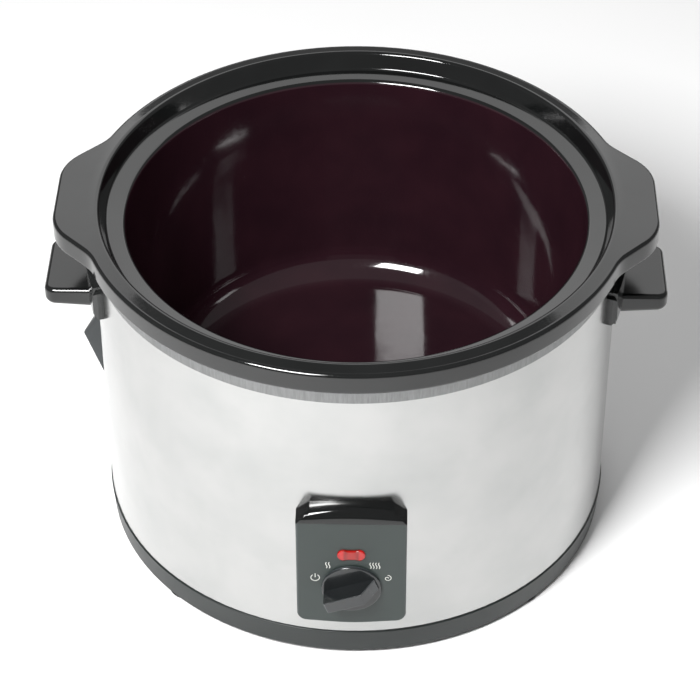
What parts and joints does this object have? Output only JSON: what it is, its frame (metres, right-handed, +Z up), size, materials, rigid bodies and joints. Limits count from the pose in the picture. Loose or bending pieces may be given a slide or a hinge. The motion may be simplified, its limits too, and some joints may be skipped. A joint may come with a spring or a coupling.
{
  "type": "slow cooker",
  "caption": "Round countertop slow cooker: a glazed stoneware crock with carrying lugs lifts out of a steel housing with side handles and a rotary heat control.",
  "frame": {"origin": "on the table plane, on the axis of the round housing", "axes": "+Z up; -Y is the front, with the control panel and its knob; +X is the right-hand handle seen from the front"},
  "size_m": [0.389, 0.3546, 0.2362],
  "materials": {
    "glazed_stoneware": "black glaze outside, dark brown glaze inside, glossy",
    "polished_steel": "bright polished stainless sheet",
    "pan_steel": "satin drawn sheet",
    "dark_plastic": "dark grey-green moulded, fine satin",
    "black_plastic": "black moulded, satin",
    "black_gloss_plastic": "black moulded, glossy",
    "rubber": "black, matt",
    "zinc_steel": "zinc plated",
    "aluminium_sheet": "mill finish",
    "heater_steel": "heat-tinted sheath",
    "steatite": "white technical ceramic, matt",
    "fuse_can": "plated can",
    "brass": "bright",
    "white_nylon": "natural nylon",
    "red_lens": "clear red moulding",
    "lamp_glass": "clear glass",
    "switch_plastic": "black phenolic",
    "lead_red": "silicone sleeving",
    "lead_black": "silicone sleeving",
    "lead_blue": "silicone sleeving",
    "lead_green": "silicone sleeving"
  },
  "bodies": {
    "housing": {"outer_shell": "polished_steel", "heating_pan": "pan_steel", "base_ring": "dark_plastic", "bottom_plate": "zinc_steel", "rubber_feet": "rubber", "tie_posts": "zinc_steel", "tie_screws": "zinc_steel", "heat_shield": "aluminium_sheet", "heater_band": "heater_steel", "heater_straps": "zinc_steel", "strap_screws": "zinc_steel", "thermal_cutout": "steatite", "cutout_screws": "zinc_steel", "thermal_fuse": "fuse_can", "fuse_clip": "zinc_steel", "fuse_screw": "zinc_steel", "terminal_block": "steatite", "terminal_screws": "brass", "block_screws": "zinc_steel", "cord_clamp": "white_nylon", "clamp_screws": "zinc_steel", "earth_screw": "brass", "cord_outlet": "black_plastic", "cord_gland": "rubber", "outlet_screws": "zinc_steel", "left_handle": "black_gloss_plastic", "right_handle": "black_gloss_plastic", "handle_screws": "zinc_steel", "handle_washers": "zinc_steel", "control_panel": "dark_plastic", "panel_screws": "zinc_steel", "lamp_lens": "red_lens", "neon_lamp": "lamp_glass", "lamp_holder": "white_nylon", "switch_body": "switch_plastic", "switch_cover": "switch_plastic", "switch_screws": "zinc_steel", "low_heat_lead": "lead_red", "high_heat_lead": "lead_black", "neutral_lead": "lead_blue", "switch_lead": "lead_black", "supply_lead": "lead_black", "fuse_lead": "lead_black", "earth_lead": "lead_green"},
    "crock": {"crock": "glazed_stoneware"},
    "knob": {"switch_spindle": "zinc_steel", "control_knob": "black_gloss_plastic", "knob_spring": "zinc_steel"}
  },
  "joints": [
    {"name": "crock_lift", "type": "slide", "parent": "housing", "child": "crock", "axis": [0, 0, 1], "range_m": [0, 0.175]},
    {"name": "knob_turn", "type": "hinge", "parent": "housing", "child": "knob", "pos_m": [0, -0.1716, 0.0682], "axis": [0, -1, 0], "range_deg": [0, 140]}
  ]
}
